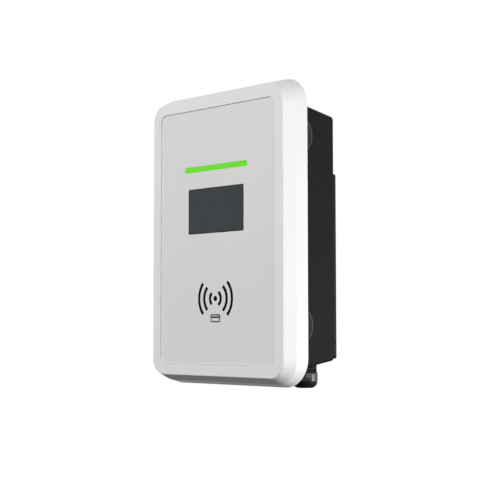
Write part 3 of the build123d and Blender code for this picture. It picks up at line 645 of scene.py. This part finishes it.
def all_finishes(colours):
    """Every finish of the box, by the record's material slots."""
    finishes = (
        moulded("cover_white", tuple(colours.cover), 0.36, grain=0.0007, depth=0.000012,
                specular=0.45, drift=0.02, edge=0.0006),
        front_panel_finish("panel_grey", tuple(colours.panel)),
        window_finish("window_smoke", tuple(colours.window)),
        light_finish("light_green", tuple(colours.light)),
        moulded("seal_rubber", (0.012, 0.012, 0.012), 0.72, grain=0.0005, depth=0.00003,
                specular=0.3),
        housing_finish("housing_black", tuple(colours.housing)),
        powder_coated("bracket_black", tuple(colours.bracket)),
        plated("steel", (0.62, 0.62, 0.63), 0.32),
        gland_finish("gland_black", tuple(colours.gland)),
        circuit_board("board_green", (0.012, 0.10, 0.035)),
        moulded("module_dark", (0.012, 0.012, 0.014), 0.4),
        moulded("header_black", (0.01, 0.01, 0.01), 0.5),
        moulded("lamp_white", (0.85, 0.84, 0.72), 0.2, grain=0.0003, depth=0.000004, coat=0.3),
        bare_metal("copper", (0.72, 0.42, 0.26), 0.3, drift=0.2),
        moulded("sensor_blue", (0.02, 0.06, 0.28), 0.45),
        bare_metal("tin", (0.66, 0.67, 0.68), 0.35, drift=0.1),
        ribbon("ribbon_grey", (0.28, 0.28, 0.30)),
        moulded("selector_blue", (0.02, 0.07, 0.35), 0.42),
        moulded("dial_white", (0.75, 0.75, 0.71), 0.4),
        moulded("button_red", (0.55, 0.02, 0.015), 0.38),
        moulded("relay_black", (0.014, 0.014, 0.015), 0.34),
        moulded("capacitor_sleeve", (0.012, 0.018, 0.06), 0.25, coat=0.2),
        moulded("terminal_grey", (0.30, 0.33, 0.31), 0.46),
        ink_finish("ink", tuple(colours.ink)),
    )
    return {finish.name: finish for finish in finishes}


# Meshes


def add_piece(name, mesh_maker, slot, finish=None, body="box", instead_of=(), sharp=35):
    """Makes a mesh object in the row frame, with its finish, smooth shading and body."""
    bm = bmesh.new()
    mesh_maker(bm)
    bmesh.ops.remove_doubles(bm, verts=bm.verts[:], dist=FINE_WELD)
    bmesh.ops.recalc_face_normals(bm, faces=bm.faces[:])
    mesh = bpy.data.meshes.new(name)
    bm.to_mesh(mesh)
    bm.free()
    mesh.polygons.foreach_set("use_smooth", [True] * len(mesh.polygons))
    mesh.set_sharp_from_angle(angle=math.radians(sharp))
    piece = bpy.data.objects.new(name, mesh)
    bpy.context.scene.collection.objects.link(piece)
    mesh.materials.append(bpy.data.materials[finish or slot])
    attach(piece, body)
    if instead_of:
        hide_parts(*instead_of)
    return piece


def lift_print(bm, thickness, matrix):
    """Gives flat print its thickness, outwards from the surface that the matrix puts it on."""
    bmesh.ops.remove_doubles(bm, verts=bm.verts[:], dist=WELD)
    bm.normal_update()
    bmesh.ops.reverse_faces(bm, faces=[face for face in bm.faces if face.normal.z < 0])
    raised = bmesh.ops.extrude_face_region(bm, geom=bm.faces[:])
    bmesh.ops.translate(bm, vec=(0, 0, thickness),
                        verts=[item for item in raised["geom"] if isinstance(item, bmesh.types.BMVert)])
    bmesh.ops.transform(bm, matrix=matrix, verts=bm.verts[:])


def outline(bm, radius, height, sides, corners=None):
    """A ring of edges at a height: a circle, or a polygon with as many points as the circle."""
    ring = bmesh.ops.create_circle(bm, segments=corners or sides, radius=radius,
                                   matrix=Matrix.Translation((0, 0, height)))
    edges = {edge for vert in ring["verts"] for edge in vert.link_edges}
    if corners:
        cut = bmesh.ops.subdivide_edges(bm, edges=list(edges), cuts=sides // corners - 1)
        edges = {item for item in cut["geom"] if isinstance(item, bmesh.types.BMEdge)}
    return list(edges)


def skin(bm, rings, open_start=False, open_end=False):
    """Joins rings of edges one after another and closes the ends."""
    for near, far in zip(rings, rings[1:]):
        bmesh.ops.bridge_loops(bm, edges=near + far)
    if not open_start:
        bmesh.ops.contextual_create(bm, geom=rings[0])
    if not open_end:
        bmesh.ops.contextual_create(bm, geom=rings[-1])


def thread(bm, radius, depth, pitch, low, high, steps):
    """A helical ridge of so many steps a turn between two heights."""
    turns = (high - low) / pitch - 1
    section = zip((radius - depth, radius, radius, radius - depth), RIDGE_CORNER_SHARES)
    verts = [bm.verts.new((out, 0, low + share * pitch)) for out, share in section]
    start = bm.faces.new(verts)
    count = max(int(turns * steps), 1)
    bmesh.ops.spin(bm, geom=[start], cent=(0, 0, 0), axis=(0, 0, 1),
                   dvec=(0, 0, pitch / steps), angle=2 * math.pi * count / steps, steps=count)


def put(bm, maker, matrix):
    """Makes a shape of its own, in millimetres, and places it in the mesh."""
    part = bmesh.new()
    maker(part)
    bmesh.ops.remove_doubles(part, verts=part.verts[:], dist=FINE_WELD / MM)
    bmesh.ops.recalc_face_normals(part, faces=part.faces[:])
    bmesh.ops.transform(part, matrix=matrix @ Matrix.Scale(MM, 4), verts=part.verts[:])
    holder = bpy.data.meshes.new("part")
    part.to_mesh(holder)
    part.free()
    bm.from_mesh(holder)
    bpy.data.meshes.remove(holder)


def pan_screw(bm, head, head_height, shank, length, pitch, depth):
    """A pan-head screw with a hexagon socket and a thread, seated at height 0."""
    core = shank - depth
    tip = core * TIP_LENGTH_SHARE - length
    shaft = ((core * TIP_END_SHARE, -length), (core, tip), (core, -pitch * RUN_OUT_SHARE), (shank, 0))
    rings = [outline(bm, radius, level, SCREW_POINTS) for radius, level in shaft]
    rings += [outline(bm, head * share, head_height * level, SCREW_POINTS)
              for share, level in SCREW_HEAD]
    rings += [outline(bm, head * share, head_height * level, SCREW_POINTS, SOCKET_SIDES)
              for share, level in SCREW_SOCKET]
    skin(bm, rings)
    thread(bm, shank, depth, pitch, tip, -pitch * THREAD_END_SHARE, SCREW_POINTS // 2)


def screw_set(name, node, points, seat, head_to_room, head, shank, pitch):
    """Like screws at points (x, z), seated at y, in one piece that replaces a CAD node."""
    facing = FACING_ROOM if head_to_room else FACING_WALL
    depth = THREAD_DEPTH_SHARE * pitch + THREAD_DEPTH_MORE

    def make(bm):
        for number, (x, z) in enumerate(points):
            turn = Matrix.Rotation(SCREW_TURN * number, 4, "Z")
            matrix = Matrix.Translation((x, seat, z)) @ facing @ turn
            put(bm, lambda part: pan_screw(part, *head, *shank, pitch, depth), matrix)

    return add_piece(name, make, "steel", instead_of=(node,))


def islands(node):
    """The lowest and highest corners of each solid in a CAD node, from left to right."""
    bm = bmesh.new()
    bm.from_mesh(FRAME["nodes"][node].data)
    bmesh.ops.remove_doubles(bm, verts=bm.verts[:], dist=WELD)
    bm.verts.ensure_lookup_table()
    left, boxes = set(bm.verts), []
    while left:
        stack = [left.pop()]
        found = set(stack)
        while stack:
            for edge in stack.pop().link_edges:
                for vert in edge.verts:
                    if vert not in found:
                        found.add(vert)
                        stack.append(vert)
        left -= found
        boxes.append((Vector([min(v.co[i] for v in found) for i in range(3)]),
                      Vector([max(v.co[i] for v in found) for i in range(3)])))
    bm.free()
    return sorted(boxes, key=lambda box: (round(box[0].x, 5), box[0].z))


# Steps


class WALLBOX_OT_finishes(bpy.types.Operator):
    """Make the finishes and lay them on the CAD nodes"""

    bl_idname = "wallbox.finishes"
    bl_label = "Finishes"

    def execute(self, context):
        for piece in FRAME["nodes"].values():
            piece.data.materials.clear()
        for plain in [each for each in bpy.data.materials if not each.users]:
            bpy.data.materials.remove(plain)
        finishes = all_finishes(context.scene.wallbox_colours)
        for node, piece in FRAME["nodes"].items():
            piece.data.materials.append(finishes[SLOTS[node]])
        return {"FINISHED"}


class WALLBOX_OT_reader_mark(bpy.types.Operator):
    """Print the reader mark: a dot with three waves on each side"""

    bl_idname = "wallbox.reader_mark"
    bl_label = "Reader mark"

    def execute(self, context):
        sizes = context.scene.wallbox_sizes
        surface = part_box("front_panel")[0].y
        facing = Matrix.Translation((0, surface, sizes.mark_height)) @ FACING_ROOM
        half = sizes.mark_stroke / 2

        def wave(bm, radius, side, reach):
            start = Matrix.Rotation(-reach, 4, "Z")
            points = [bm.verts.new(start @ Vector((side * (radius + step), 0, 0)))
                      for step in (-half, 0, half)]
            edges = [bm.edges.new(points[:2]), bm.edges.new(points[1:])]
            bmesh.ops.spin(bm, geom=edges, cent=(0, 0, 0), axis=(0, 0, 1), angle=2 * reach,
                           steps=WAVE_STEPS)
            for end in (-1, 1):
                turn = Matrix.Rotation(end * reach, 4, "Z")
                middle = turn @ Vector((side * radius, 0, 0))
                rim = turn @ Vector((side * (radius + half), 0, 0))
                cap = bm.edges.new([bm.verts.new(middle), bm.verts.new(rim)])
                bmesh.ops.spin(bm, geom=[cap], cent=middle, axis=(0, 0, end * side),
                               angle=math.pi, steps=WAVE_END_STEPS)

        def make(bm):
            bmesh.ops.create_circle(bm, cap_ends=True, segments=DOT_SIDES, radius=sizes.mark_dot)
            for number, radius in enumerate(sizes.mark_waves):
                for side in (-1, 1):
                    wave(bm, radius, side, sizes.mark_reach - number * sizes.mark_narrowing)
            lift_print(bm, sizes.ink, facing)

        add_piece("reader_mark", make, "panel_grey", "ink")
        return {"FINISHED"}


class WALLBOX_OT_card_mark(bpy.types.Operator):
    """Print a plain card outline under the reader mark"""

    bl_idname = "wallbox.card_mark"
    bl_label = "Card mark"

    def execute(self, context):
        sizes = context.scene.wallbox_sizes
        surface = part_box("front_panel")[0].y
        facing = Matrix.Translation((0, surface, sizes.mark_height - sizes.card_drop)) @ FACING_ROOM
        width, height, line = sizes.card_width, sizes.card_height, sizes.card_stroke

        def make(bm):
            half = Matrix.Diagonal((width / 2, height / 2, 1, 1))
            card = bmesh.ops.create_grid(bm, x_segments=1, y_segments=1, size=1, matrix=half)
            bmesh.ops.bevel(bm, geom=card["verts"], offset=line, offset_type="OFFSET",
                            affect="VERTICES", segments=CARD_CORNER_STEPS, profile=0.5, material=-1)
            bmesh.ops.inset_region(bm, faces=bm.faces[:], thickness=line * CARD_RING_SHARE,
                                   use_boundary=True, use_even_offset=True)
            inner = min(bm.faces, key=lambda face: face.calc_center_median().length)
            bmesh.ops.delete(bm, geom=[inner], context="FACES_ONLY")
            rise = Matrix.Translation((0, height * STRIPE_RISE_SHARE, 0))
            stripe = rise @ Matrix.Diagonal(((width - line) / 2, line / 2, 1, 1))
            bmesh.ops.create_grid(bm, x_segments=1, y_segments=1, size=1, matrix=stripe)
            lift_print(bm, sizes.ink, facing)

        add_piece("card_mark", make, "panel_grey", "ink")
        return {"FINISHED"}


class WALLBOX_OT_screws(bpy.types.Operator):
    """Make the screws with rounded heads, sockets and threads"""

    bl_idname = "wallbox.screws"
    bl_label = "Screws"

    def execute(self, context):
        for node, (to_room, head, shank, pitch) in SCREW_SETS.items():
            boxes = islands(node)
            points = [((low.x + high.x) / 2, (low.z + high.z) / 2) for low, high in boxes]
            low, high = boxes[0]
            seat = low.y + head[1] * MM if to_room else high.y - head[1] * MM
            screw_set(node + "_made", node, points, seat, to_room, head, shank, pitch)
        return {"FINISHED"}


class WALLBOX_OT_gland_nuts(bpy.types.Operator):
    """Make the domed gland nuts with their finger ribs"""

    bl_idname = "wallbox.gland_nuts"
    bl_label = "Gland nuts"

    def ribbed(self, bm, radius, level, relief):
        """A ring that stands out at every rib."""
        ring = outline(bm, radius, level, NUT_POINTS)
        larger = 1 + relief / radius
        for vert in {vert for edge in ring for vert in edge.verts}:
            point = round(math.atan2(vert.co.y, vert.co.x) / (2 * math.pi) * NUT_POINTS)
            if point % (NUT_POINTS // NUT_RIBS) == 0:
                bmesh.ops.scale(bm, vec=(larger, larger, 1), verts=[vert])
        return ring

    def execute(self, context):
        for side in ("supply", "output"):
            node = side + "_gland_nut"
            low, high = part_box(node)
            place = Matrix.Translation(((low.x + high.x) / 2, (low.y + high.y) / 2, low.z))
            height = (high.z - low.z) / MM

            def make_nut(bm):
                rings = [self.ribbed(bm, radius, height - depth, relief)
                         for radius, depth, relief in NUT_GRIP]
                rings += [outline(bm, radius, level, NUT_POINTS) for radius, level in NUT_DOME]
                rings.append(outline(bm, NUT_GRIP[0][0], height, NUT_POINTS))
                skin(bm, rings, open_start=True, open_end=True)

            add_piece(node + "_made", lambda bm: put(bm, make_nut, place), "gland_black",
                      instead_of=(node,), sharp=28)
        return {"FINISHED"}


class WALLBOX_OT_gland_threads(bpy.types.Operator):
    """Make the threads on the glands' shanks and necks"""

    bl_idname = "wallbox.gland_threads"
    bl_label = "Gland threads"

    def execute(self, context):
        depth = context.scene.wallbox_sizes.thread_depth / MM
        for side in ("supply", "output"):
            low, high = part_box(side + "_gland_body")
            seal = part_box(side + "_gland_seal")[0].z / MM
            place = Matrix.Translation(((low.x + high.x) / 2, (low.y + high.y) / 2, 0))
            runs = (
                (SHANK_RADIUS, seal + SHANK_START_ABOVE_SEAL, high.z / MM - SHORT_OF_END),
                (NECK_RADIUS, low.z / MM + SHORT_OF_END, seal - NECK_END_BELOW_SEAL),
            )

            def make_thread(bm):
                for radius, start, end in runs:
                    thread(bm, radius + depth, depth * RIDGE_DEPTH_SHARE, GLAND_PITCH, start, end,
                           GLAND_STEPS)

            add_piece(side + "_gland_threads", lambda bm: put(bm, make_thread, place), "gland_black")
        return {"FINISHED"}


class WALLBOX_OT_stage(bpy.types.Operator):
    """Set out the floor, the lamps, the world and the camera"""

    bl_idname = "wallbox.stage"
    bl_label = "Stage"

    def execute(self, context):
        scene = context.scene
        self.floor(scene)
        for name, place, size, power in LAMPS:
            self.lamp(scene, name, place, size, power)
        self.world(scene)
        self.camera(scene)
        scene.view_settings.view_transform = "Standard"
        return {"FINISHED"}

    def floor(self, scene):
        """A round floor, white to the camera and grey to the lamps."""
        bm = bmesh.new()
        bmesh.ops.create_circle(bm, cap_ends=True, segments=FLOOR_SIDES, radius=FLOOR_RADIUS,
                                matrix=Matrix.Translation((0, 0, FLOOR_HEIGHT)))
        mesh = bpy.data.meshes.new("floor")
        bm.to_mesh(mesh)
        bm.free()
        floor = bpy.data.objects.new("floor", mesh)
        scene.collection.objects.link(floor)
        finish = material("floor")
        matt = finish.node("ShaderNodeBsdfDiffuse", None, {"Color": FLOOR_COLOUR})
        white = finish.node("ShaderNodeEmission", None, {"Color": WHITE, "Strength": FLOOR_WHITE})
        lifted = finish.node("ShaderNodeAddShader", None, {0: matt, 1: white})
        seen = finish.node("ShaderNodeLightPath", output="Is Camera Ray")
        mixed = finish.node("ShaderNodeMixShader", None, {0: seen, 1: matt, 2: lifted})
        finish.end("ShaderNodeOutputMaterial", mixed)
        mesh.materials.append(finish.owner)

    def lamp(self, scene, name, place, size, power):
        """A square lamp that points at the box's origin."""
        data = bpy.data.lights.new(name, "AREA")
        data.shape = "SQUARE"
        data.size = size
        data.energy = power
        lamp = bpy.data.objects.new(name, data)
        scene.collection.objects.link(lamp)
        lamp.location = place
        lamp.rotation_euler = (-Vector(place)).to_track_quat("-Z", "Y").to_euler()
        lamp.visible_camera = False

    def world(self, scene):
        """White to the camera and in reflections, and a faint fill for the rest."""
        world = bpy.data.worlds.new("studio")
        finish = Finish(world)
        fill = finish.node("ShaderNodeBackground", None, {"Color": WHITE, "Strength": FILL})
        white = finish.node("ShaderNodeBackground", None, {"Color": WHITE, "Strength": 1.0})
        camera, glossy, through = (
            finish.node("ShaderNodeLightPath", output=name)
            for name in ("Is Camera Ray", "Is Glossy Ray", "Is Transmission Ray"))
        seen = (camera + glossy + through) > 0.5
        mixed = finish.node("ShaderNodeMixShader", None, {0: seen, 1: fill, 2: white})
        finish.end("ShaderNodeOutputWorld", mixed)
        scene.world = world

    def camera(self, scene):
        """The photo's view: from the front right, a little below the box's middle."""
        data = bpy.data.cameras.new("camera")
        data.sensor_width = CAMERA_SENSOR
        data.lens = CAMERA_LENS
        data.clip_end = CAMERA_REACH
        camera = bpy.data.objects.new("camera", data)
        scene.collection.objects.link(camera)
        camera.location = CAMERA_PLACE
        level = math.cos(CAMERA_RISE)
        ahead = Vector((-math.sin(CAMERA_TURN) * level, math.cos(CAMERA_TURN) * level,
                        math.sin(CAMERA_RISE)))
        camera.rotation_euler = ahead.to_track_quat("-Z", "Y").to_euler()
        scene.camera = camera


class WALLBOX_PT_panel(bpy.types.Panel):
    """The box's steps, sizes and colours"""

    bl_label = "Charging box"
    bl_idname = "WALLBOX_PT_panel"
    bl_space_type = "VIEW_3D"
    bl_region_type = "UI"
    bl_category = "Charging box"

    def draw(self, context):
        for step in STEPS:
            self.layout.operator(step.bl_idname)
        for group in (context.scene.wallbox_sizes, context.scene.wallbox_colours):
            for name in group.bl_rna.properties.keys():
                if name not in ("rna_type", "name"):
                    self.layout.prop(group, name)


STEPS = (
    WALLBOX_OT_stage,
    WALLBOX_OT_finishes,
    WALLBOX_OT_reader_mark,
    WALLBOX_OT_card_mark,
    WALLBOX_OT_screws,
    WALLBOX_OT_gland_nuts,
    WALLBOX_OT_gland_threads,
)
CLASSES = (WallboxSizes, WallboxColours, *STEPS, WALLBOX_PT_panel)


def register():
    for each in CLASSES:
        bpy.utils.register_class(each)
    bpy.types.Scene.wallbox_sizes = bpy.props.PointerProperty(type=WallboxSizes)
    bpy.types.Scene.wallbox_colours = bpy.props.PointerProperty(type=WallboxColours)


def unregister():
    del bpy.types.Scene.wallbox_colours
    del bpy.types.Scene.wallbox_sizes
    for each in reversed(CLASSES):
        bpy.utils.unregister_class(each)


def main():
    """Runs every step in order."""
    register()
    for step in STEPS:
        group, name = step.bl_idname.split(".")
        getattr(getattr(bpy.ops, group), name)()


if __name__ == "__main__":
    main()
